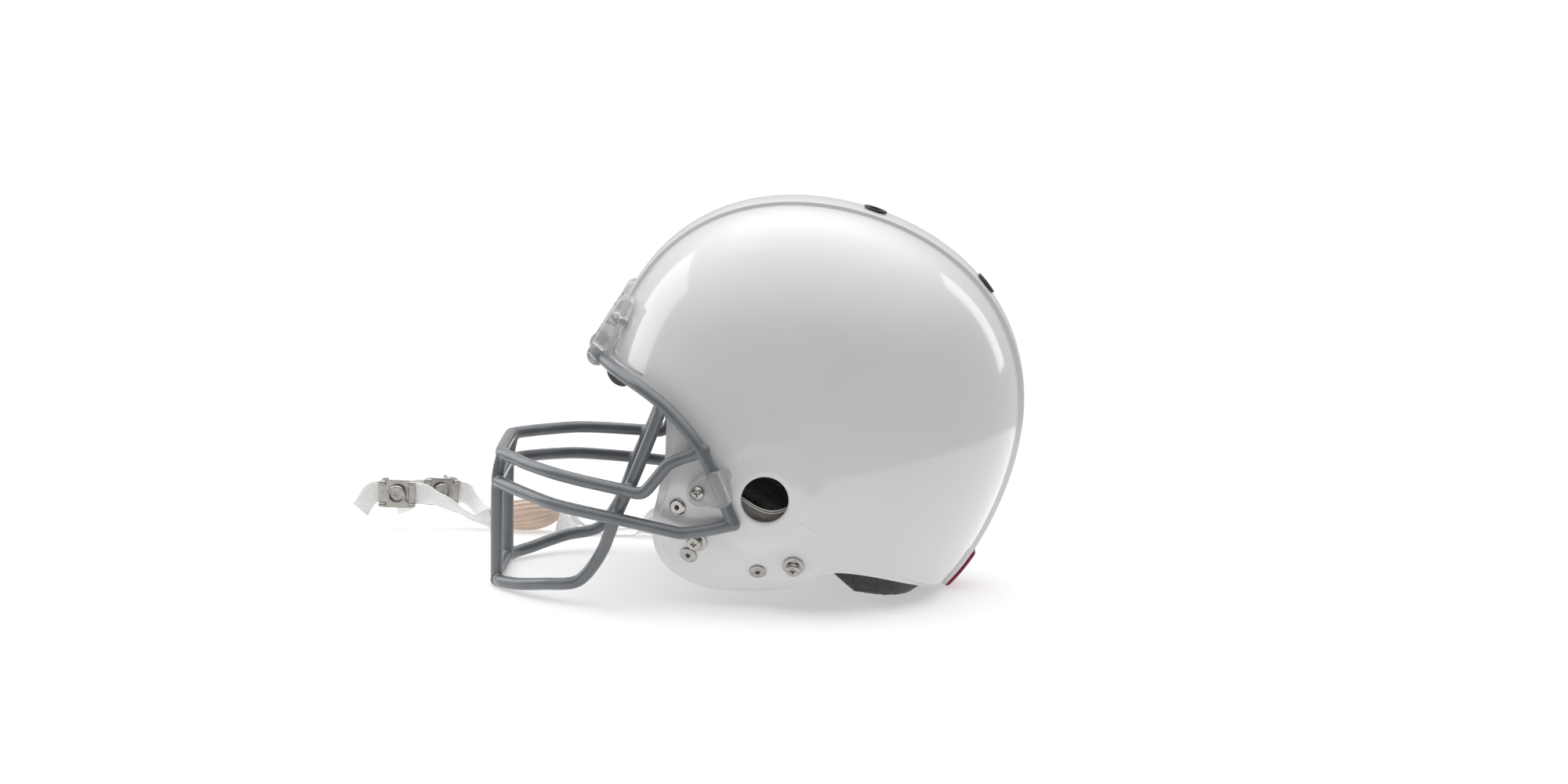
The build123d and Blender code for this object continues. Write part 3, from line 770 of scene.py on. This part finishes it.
def joined(objects, name):
    """Several mesh objects made into one."""
    work = bmesh.new()
    for obj in objects:
        part = bmesh.new()
        part.from_mesh(obj.data)
        part.transform(obj.matrix_world if obj.location.length == 0 else Matrix.Translation(obj.location))
        mesh = bpy.data.meshes.new("join_part")
        part.to_mesh(mesh)
        part.free()
        work.from_mesh(mesh)
        bpy.data.objects.remove(obj)
    mesh = bpy.data.meshes.new(name)
    work.to_mesh(mesh)
    work.free()
    return link(bpy.data.objects.new(name, mesh))


# ---- Liner pads: quilted pillows in the space of their CAD solids ----
CROWN_REACH = 24.0  # distance from a pad's side to where it has its full thickness
CHANNEL_DEPTH = 0.34  # share of the thickness that a sewn channel takes away
CHANNEL_WIDTH = 2.6
SIDE_FACING = 0.6


def mesh_points(mesh):
    points = np.empty(len(mesh.vertices) * 3)
    mesh.vertices.foreach_get("co", points)
    return points.reshape(-1, 3) / MM


def quilted(node_name, piece_name, material, channels, voxel=2.0, puff=0.42, body=HELMET):
    """A pad's CAD solid, crowned between its edges and pressed in along its sewn channels."""
    piece = link(bpy.data.objects.new(piece_name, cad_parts[node_name].data.copy()))
    add_remesh(piece, voxel)
    apply_modifiers(piece)
    points = mesh_points(piece.data)
    face_normals = np.empty(len(points) * 3)
    piece.data.vertices.foreach_get("normal", face_normals)
    form = form_normal(points)
    on_side = np.abs((face_normals.reshape(-1, 3) * form).sum(1)) < SIDE_FACING
    sides = KDTree(int(on_side.sum()))
    for spot in points[on_side]:
        sides.insert(spot, 0)
    sides.balance()
    to_side = np.array([sides.find(spot)[2] for spot in points])
    profile = profile_radius(np.arctan2(points[:, 2], points[:, 0]))
    level = (np.hypot(points[:, 0], points[:, 2]) / profile) ** FULLNESS
    level += np.abs(points[:, 1] / HALF_WIDTH) ** FULLNESS
    below_form = (1 - level ** (1 / FULLNESS)) * np.linalg.norm(points, axis=1)
    through = np.clip(below_form - PAD_INSET, 0, PAD_DEPTH)
    rise = np.clip(to_side / CROWN_REACH, 0, 1)
    full = 1 - puff + puff * np.sqrt(1 - (1 - rise) ** 2)
    if channels is not None:
        full = full * (1 - CHANNEL_DEPTH * np.exp(-((channels(points) / CHANNEL_WIDTH) ** 2)))
    points += form * (through * (1 - full))[:, None]
    piece.data.vertices.foreach_set("co", (points * MM).ravel())
    add_smooth(piece, 4)
    divide = piece.modifiers.new("divide", "SUBSURF")
    divide.levels = 1
    divide.render_levels = 1
    apply_modifiers(piece)
    set_material(piece, material)
    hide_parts(node_name)
    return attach(piece, body)


def middle_channels(*angles):
    """Distance to the channels of a middle pad: two along it and one across at each angle."""
    def distance(points):
        turn = np.degrees(np.arctan2(points[:, 2], points[:, 0]))
        reach = np.hypot(points[:, 0], points[:, 2])
        lengthwise = np.abs(np.abs(points[:, 1]) - 21)
        across = [np.abs(np.radians(turn - angle)) * reach for angle in angles]
        return np.minimum.reduce([lengthwise, *across])
    return distance


def side_channels(points):
    """Distance to the channels of a side pad: upright ones, and one along it."""
    upright = np.abs((points[:, 0] - 8) % 44 - 22)
    return np.minimum(upright, np.abs(points[:, 2] - 84))


def jaw_channels(points):
    """Distance to the one channel that crosses a jaw pad below the ear."""
    return np.abs(points[:, 2] + 0.45 * points[:, 0] + 46)


def make_liner():
    pads = [
        quilted("front_pad", "front_cushion", BLACK_FABRIC, middle_channels(122)),
        quilted("crown_pad", "crown_cushion", BLACK_FABRIC, middle_channels(78)),
        quilted("rear_pad", "rear_cushion", BLACK_FABRIC, middle_channels(18, 35)),
        quilted("neck_band", "neck_cushion", JAW_VINYL, None, puff=0.3),
    ]
    for side in ("left", "right"):
        pads.append(quilted(f"{side}_side_pad", f"{side}_side_cushion", BLACK_FABRIC, side_channels))
    for side in ("left", "right"):
        pad = quilted(
            f"{side}_jaw_pad", f"{side}_jaw_cushion", JAW_VINYL, jaw_channels, voxel=1.6, puff=0.5,
            body=f"{side}_jaw_pad",
        )


# ---- Chin strap ----
STRAP_NAMES = ("left_upper", "left_lower", "right_upper", "right_lower")
STRAP_WIDTH = 16.0
WEBBING = 1.7
WEBBING_Z = 2.9  # height of the webbing in a buckle's own frame
SNAP_HEIGHT = 6.9  # of a snapped buckle's plate off the skull form
LYING_Z = FLOOR_Z + STRAP_WIDTH / 2 + 0.3
FLAT_Z = FLOOR_Z + WEBBING / 2 + 0.3


def surface_frame(x, z):
    """A point on the left side of the skull form and its outward normal."""
    point = np.array([x, -float(side_depth(x, z)), z])
    return point, form_normal(point[None])[0]


def plane_axes(origin, x_dir, z_dir):
    """Origin and unit axes of a plane, as build123d makes them."""
    z_axis = np.array(z_dir, float) / np.linalg.norm(z_dir)
    x_axis = np.array(x_dir, float) - z_axis * np.dot(x_dir, z_axis)
    x_axis /= np.linalg.norm(x_axis)
    return np.array(origin, float), x_axis, z_axis


stud_point, stud_normal = surface_frame(19.6, -46.0)
stud_point, stud_normal = stud_point * (1, -1, 1), stud_normal * (1, -1, 1)
BUCKLE_PLANES = {
    "left_upper": plane_axes((-278, 138, -56), (-1, 0.04, 0), (0.04, 1, 0)),
    "left_lower": plane_axes((-249, 167, -60), (0.94, 0.34, -0.1), (-0.34, 0.94, 0)),
    "right_upper": plane_axes((-62, 150, -70), (1, 0.05, 0), (-0.05, 1, 0)),
    "right_lower": plane_axes(stud_point + stud_normal * SNAP_HEIGHT, (0.8, 0, 0.6), stud_normal),
}


def course(name, along):
    """A point of the webbing's way through a buckle."""
    origin, x_axis, z_axis = BUCKLE_PLANES[name]
    return tuple(origin + x_axis * along + z_axis * WEBBING_Z)


STRAP_COURSES = {
    "left_upper": [
        (-208.5, 135.6, -71.4), (-219, 137.5, -73), (-230, 139.5, -68.5), (-244, 140.5, -61.5),
        course("left_upper", -18), course("left_upper", 0), course("left_upper", 18), (-305, 136, -68),
    ],
    "left_lower": [
        (-208.5, 139.6, LYING_Z), (-216, 155, -72), (-225, 171, -67), course("left_lower", 18),
        course("left_lower", 0), course("left_lower", -18), (-274, 171, -67), (-284, 177, -72),
    ],
    "right_upper": [
        (-159.5, 139.4, LYING_Z), (-147, 143, -76), (-125, 149, FLAT_Z), (-102, 151, FLAT_Z + 2),
        course("right_upper", -20),
        course("right_upper", 0), course("right_upper", 20), (-24, 157, LYING_Z),
    ],
    "right_lower": [
        (-159.5, 136, LYING_Z), (-145, 131, -76), (-115, 129, FLAT_Z), (-75, 128, FLAT_Z + 3),
        (-42, 126, -72.4),
        *[course("right_lower", along) for along in (-32, -18, -5, 8, 22)],
    ],
}


# Which way the front strap's webbing faces on its way to the cup, by x
TWIST = [(-244, (0, 0.7, 0.71)), (-230, (0, 0.45, 0.89)), (-219, (0, 0.5, 0.87)), (-208.5, (0, 0.98, 0.2))]
TWIST_SPAN = (-262, -248)  # x over which that twist begins
LAID_SPANS = ((-159, -138), (-104, -84))  # x over which the right straps turn flat and back


def make_strap(name):
    """Webbing along its course, with a rounded section and a map of the weave in millimetres."""
    course_points = np.array(STRAP_COURSES[name])
    path = smooth_curve(course_points, 220)
    tangents = np.gradient(path, axis=0)
    tangents /= np.linalg.norm(tangents, axis=1, keepdims=True)
    lying = np.cross(tangents, (0, 0, 1))
    lying /= np.linalg.norm(lying, axis=1, keepdims=True)
    face = lying
    if name == "left_upper":
        marks, facing = zip(*TWIST)
        twist = np.stack([np.interp(path[:, 0], marks, axis) for axis in zip(*facing)], 1)
        turned = smooth_step(path[:, 0], *TWIST_SPAN)[:, None]
        face = lying * np.sign(lying[:, 1:2]) * (1 - turned) + twist * turned
    if name in ("right_upper", "right_lower"):
        turning, rising = (smooth_step(path[:, 0], *span) for span in LAID_SPANS)
        laid = turning * (1 - rising)
        flat = (laid * pi / 2)[:, None]
        face = lying * np.cos(flat) + np.cross(tangents, lying) * np.sin(flat)
    if name == "right_lower":
        snap = -BUCKLE_PLANES[name][2]
        held = smooth_step(path[:, 0], -42, course_points[5][0] + 2)[:, None]
        face = face * (1 - held) + snap * held
    face = face - tangents * (face * tangents).sum(1, keepdims=True)
    face /= np.linalg.norm(face, axis=1, keepdims=True)
    across = np.cross(tangents, face)
    half_width, half_thick = STRAP_WIDTH / 2, WEBBING / 2
    lowest = FLOOR_Z + 0.2 + half_width * np.abs(across[:, 2]) + half_thick * np.abs(face[:, 2])
    path[:, 2] = np.maximum(path[:, 2], lowest)
    outline = []
    for turn in np.linspace(0, pi, 7):
        outline.append((half_width - half_thick * 0.7 * (1 - sin(turn)), half_thick * cos(turn)))
    wide = np.linspace(half_width - 2.2, -half_width + 2.2, 9)
    bottom = [(w, -half_thick) for w in wide]
    left = [(-w, -t) for w, t in outline]
    top = [(-w, half_thick) for w in wide]
    section = np.array(outline + bottom + left + top)
    points, weave = [], []
    length = np.concatenate([[0], np.cumsum(np.linalg.norm(np.diff(path, axis=0), axis=1))])
    for step, spot in enumerate(path):
        points.extend(spot + section[:, :1] * across[step] + section[:, 1:] * face[step])
        weave.extend((length[step], w) for w, t in section)
    sides = len(section)
    faces = grid_faces(len(path), sides, wrap_columns=True)
    faces.append(tuple(range(sides - 1, -1, -1)))
    faces.append(tuple(range(len(points) - sides, len(points))))
    strap = mesh_object(f"{name}_webbing", points, faces, WEBBING_MATERIAL)
    layer = strap.data.uv_layers.new(name="weave")
    for loop in strap.data.loops:
        layer.data[loop.index].uv = weave[loop.vertex_index]
    fix_normals(strap)
    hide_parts(f"{name}_strap")
    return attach(strap, HELMET)


# ---- Chin cup ----
CUP_LENGTH = 52.0
CUP_HEIGHT = 26.0
CUP_WALL = 2.5
CUP_ORIGIN, CUP_X, CUP_Z = plane_axes((-184, 138, FLOOR_Z + CUP_HEIGHT / 2 + 0.3), (1, 0, 0), (0, 0.87, 0.5))


def cup_surface(inset, rib, rows=150, columns=110, rim=0.0):
    """Half an egg about the cup's long axis, as (rows, columns, 3), with ribs round it."""
    half_length, radius = CUP_LENGTH / 2 - inset, CUP_HEIGHT / 2 - inset
    along = -np.cos(np.linspace(0.02, pi - 0.02, rows))
    turn = np.linspace(pi, 2 * pi, columns)
    ribs = rib * np.abs(np.sin(turn[None] * 11 + along[:, None] * 4)) ** 1.5
    fade = np.clip((1 - np.abs(along)) * 6, 0, 1)
    size = radius * np.sqrt(1 - along**2)
    x = (half_length * along)[:, None] + 0 * turn[None]
    r = size[:, None] - ribs * fade[:, None]
    y = r * np.cos(turn)[None]
    z = r * np.sin(turn)[None] + rim
    cup_y = np.cross(CUP_Z, CUP_X)
    return CUP_ORIGIN + x[..., None] * CUP_X + y[..., None] * cup_y + z[..., None] * CUP_Z


def make_bowl(name, first, last, rib, material, node_name):
    """A bowl between two insets, closed round its rim."""
    outside = cup_surface(first, rib)
    inside = cup_surface(last, 0)
    rows, columns = outside.shape[:2]
    points = np.vstack([outside.reshape(-1, 3), inside.reshape(-1, 3)])
    faces = grid_faces(rows, columns) + grid_faces(rows, columns, start=rows * columns)
    faces += rim_faces(rows, columns)
    bowl = fix_normals(mesh_object(name, points, faces, material))
    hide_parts(node_name)
    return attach(bowl, HELMET)


def make_chin_strap():
    for name in STRAP_NAMES:
        make_strap(name)
    make_bowl("chin_cup_shell", 0, CUP_WALL, 0.7, CUP_TAN, "chin_cup")
    pad = make_bowl(
        "chin_cup_lining", CUP_WALL + 0.3, CUP_WALL + 3.3, 0, CUP_FOAM, "chin_cup_pad"
    )


make_shell()
make_mask()
make_hardware()
make_rivet_hole_shade()
make_ear_linings()
make_liner()
make_chin_strap()

# ---- Camera, light and floor ----
CAMERA_ELEVATION = radians(10.4)
CAMERA_AZIMUTH = radians(-1.5)
CAMERA_ROLL = radians(-1.0)
CAMERA_DISTANCE = 2.5
CAMERA_TARGET = Vector((0.00844, 0, 0.05186))
LENS = 83.25
WORLD_LOW = 0.13
WORLD_HIGH = 1.9
WORLD_BEHIND = 0.45
FLOOR_R = 600.0
LAMPS = (
    ("top_box", (0.1, 0.35, 1.5), (0, 0, 0), (1.6, 1.2), 2),
    ("back_left", (-1.6, 0.5, 0.8), (0, 0, 0.05), (1.2, 1.4), 10),
    ("back_right", (1.6, 0.9, 0.8), (0, 0, 0.05), (0.45, 1.3), 4),
    ("front_fill", (-0.5, -2.2, 0.9), (0, 0, 0.05), (1.4, 1.0), 0.25),
)


def make_camera():
    ahead = Vector((
        sin(CAMERA_AZIMUTH) * cos(CAMERA_ELEVATION), cos(CAMERA_AZIMUTH) * cos(CAMERA_ELEVATION),
        -sin(CAMERA_ELEVATION),
    ))
    right = Vector((cos(CAMERA_AZIMUTH), -sin(CAMERA_AZIMUTH), 0))
    up = right.cross(ahead)
    level_right = right * cos(CAMERA_ROLL) - up * sin(CAMERA_ROLL)
    level_up = right * sin(CAMERA_ROLL) + up * cos(CAMERA_ROLL)
    data = bpy.data.cameras.new("camera")
    data.lens = LENS
    data.sensor_width = 36
    camera = link(bpy.data.objects.new("camera", data))
    turn = Matrix((level_right, level_up, -ahead)).transposed().to_4x4()
    camera.matrix_world = Matrix.Translation(CAMERA_TARGET - ahead * CAMERA_DISTANCE) @ turn
    bpy.context.scene.camera = camera


def area_light(name, place, target, size, power):
    data = bpy.data.lights.new(name, "AREA")
    data.shape = "RECTANGLE"
    data.size, data.size_y = size
    data.energy = power
    lamp = link(bpy.data.objects.new(name, data))
    lamp.location = place
    lamp.rotation_euler = (Vector(target) - Vector(place)).to_track_quat("-Z", "Y").to_euler()
    return lamp


def make_studio():
    scene = bpy.context.scene
    world = bpy.data.worlds.new("studio")
    scene.world = world
    world.use_nodes = True
    tree = world.node_tree
    around = tree.nodes["Background"]
    around.inputs["Strength"].default_value = 1
    seen = tree.nodes.new("ShaderNodeBackground")
    seen.inputs["Color"].default_value = (1, 1, 1, 1)
    seen.inputs["Strength"].default_value = 1.05
    place = tree.nodes.new("ShaderNodeTexCoord")
    split = tree.nodes.new("ShaderNodeSeparateXYZ")
    high = tree.nodes.new("ShaderNodeMapRange")
    far = tree.nodes.new("ShaderNodeMapRange")
    total = tree.nodes.new("ShaderNodeMath")
    for grade, low_end, high_end, low_light, high_light in (
        (high, 0.4, 1.0, WORLD_LOW, WORLD_HIGH), (far, -0.1, 0.9, 0.0, WORLD_BEHIND),
    ):
        grade.interpolation_type = "SMOOTHSTEP"
        grade.inputs["From Min"].default_value = low_end
        grade.inputs["From Max"].default_value = high_end
        grade.inputs["To Min"].default_value = low_light
        grade.inputs["To Max"].default_value = high_light
    tree.links.new(place.outputs["Generated"], split.inputs[0])
    tree.links.new(split.outputs["Z"], high.inputs["Value"])
    tree.links.new(split.outputs["Y"], far.inputs["Value"])
    tree.links.new(high.outputs["Result"], total.inputs[0])
    tree.links.new(far.outputs["Result"], total.inputs[1])
    tree.links.new(total.outputs[0], around.inputs["Color"])
    sight = tree.nodes.new("ShaderNodeLightPath")
    mix = tree.nodes.new("ShaderNodeMixShader")
    tree.links.new(sight.outputs["Is Camera Ray"], mix.inputs["Fac"])
    tree.links.new(around.outputs["Background"], mix.inputs[1])
    tree.links.new(seen.outputs["Background"], mix.inputs[2])
    tree.links.new(mix.outputs["Shader"], tree.nodes["World Output"].inputs["Surface"])
    scene.view_settings.view_transform = "Standard"
    for lamp in LAMPS:
        area_light(*lamp)
    floor_paint = new_material(
        "studio_floor", (0.54, 0.54, 0.54), 0.9, Emission_Color=(1, 1, 1, 1), Emission_Strength=0.46
    )
    turns = np.linspace(0, 2 * pi, 96)[:-1]
    edge = [(FLOOR_R * cos(turn), FLOOR_R * sin(turn), FLOOR_Z - 0.3) for turn in turns]
    floor = mesh_object("studio_floor", edge, [tuple(range(len(edge)))], floor_paint)


make_camera()
make_studio()
